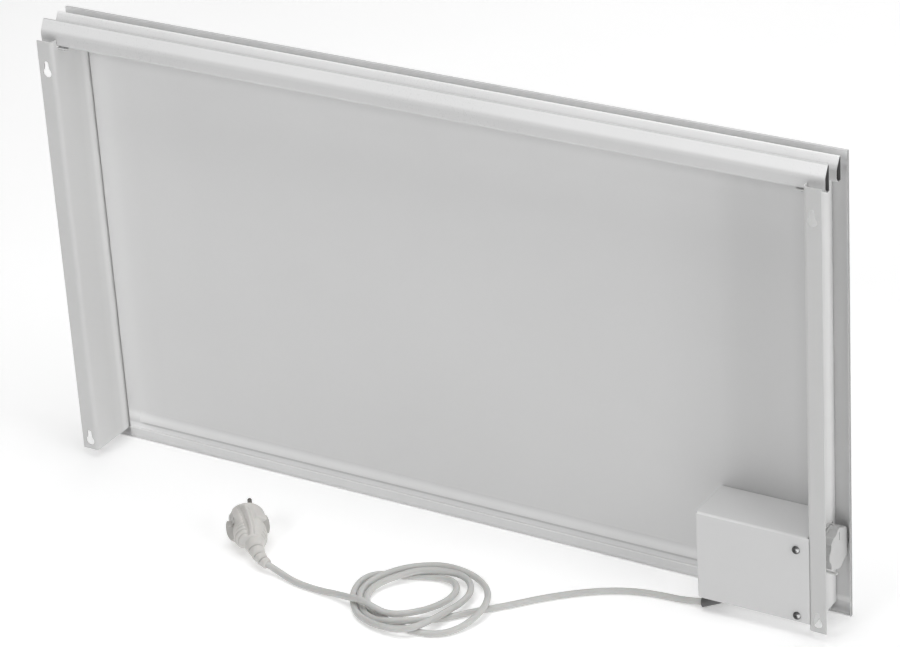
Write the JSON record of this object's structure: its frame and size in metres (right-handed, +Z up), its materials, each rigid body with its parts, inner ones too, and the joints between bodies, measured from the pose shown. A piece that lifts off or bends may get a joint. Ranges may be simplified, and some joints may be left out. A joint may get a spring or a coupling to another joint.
{
  "type": "infrared panel heater",
  "caption": "Wall-hung infrared panel heater: flat steel front tray on keyhole stand-off brackets, air deflector blades on top, control box with side knob, coiled mains cord and plug.",
  "frame": {"origin": "middle of the wall keyholes' round parts, in the wall plane that the bracket flanges rest on", "axes": "+X to the left seen from behind (away from the control box), +Y into the wall, -Y the way the warm face looks, +Z up"},
  "size_m": [0.8788, 0.2358, 0.5024],
  "materials": {
    "powder_coat": "satin white powder coat, fine orange peel",
    "zinc": "bright zinc plating",
    "screw_bright": "nickel plated",
    "knob_plastic": "satin white moulding",
    "bezel_plastic": "satin light grey moulding",
    "gland_plastic": "dark nylon",
    "cord_pvc": "warm light grey PVC sheath",
    "plug_pvc": "warm light grey PVC moulding",
    "pin_brass": "nickel plated brass",
    "phenolic": "brown phenolic",
    "terminal_plastic": "natural polyamide",
    "brass": "bare brass",
    "copper": "bare copper foil",
    "element_film": "carbon film between polymer sheets",
    "felt": "needled mineral felt",
    "wire_brown": "silicone insulation",
    "wire_blue": "silicone insulation",
    "wire_green": "silicone insulation"
  },
  "bodies": {
    "heater": {"air_deflector_middle": "powder_coat", "air_deflector_rear": "powder_coat", "bracket_studs": "zinc", "cable_gland": "gland_plastic", "chassis_nuts": "zinc", "chassis_screws": "zinc", "control_box_cover": "powder_coat", "control_chassis": "zinc", "cord_coil": "cord_pvc", "cord_run_heater": "cord_pvc", "cord_run_plug": "cord_pvc", "cover_screws": "screw_bright", "cutoff_terminals": "brass", "deflector_screws": "screw_bright", "earth_nut": "zinc", "earth_ring": "brass", "earth_screw": "zinc", "element_busbars": "copper", "front_panel": "powder_coat", "gland_locknut": "gland_plastic", "heating_element": "element_film", "insulation_felt": "felt", "knob_bezel": "bezel_plastic", "left_bracket": "powder_coat", "plug_body": "plug_pvc", "plug_earth_contacts": "pin_brass", "plug_pins": "pin_brass", "plug_strain_relief": "plug_pvc", "rear_sheet": "powder_coat", "right_bracket": "powder_coat", "stud_clips": "zinc", "terminal_block": "terminal_plastic", "terminal_screws": "zinc", "thermal_cutoff": "phenolic", "thermostat_body": "phenolic", "thermostat_screws": "zinc", "thermostat_terminals": "brass", "wire_cutoff": "wire_brown", "wire_earth": "wire_green", "wire_element": "wire_brown", "wire_live": "wire_brown", "wire_neutral": "wire_blue", "wire_thermostat": "wire_brown"},
    "knob": {"thermostat_knob": "knob_plastic", "thermostat_spindle": "zinc"}
  },
  "joints": [
    {"name": "thermostat_turn", "type": "hinge", "parent": "heater", "child": "knob", "pos_m": [-0.43, -0.0384, -0.1497], "axis": [1, 0, 0], "range_deg": [0, 270]}
  ]
}
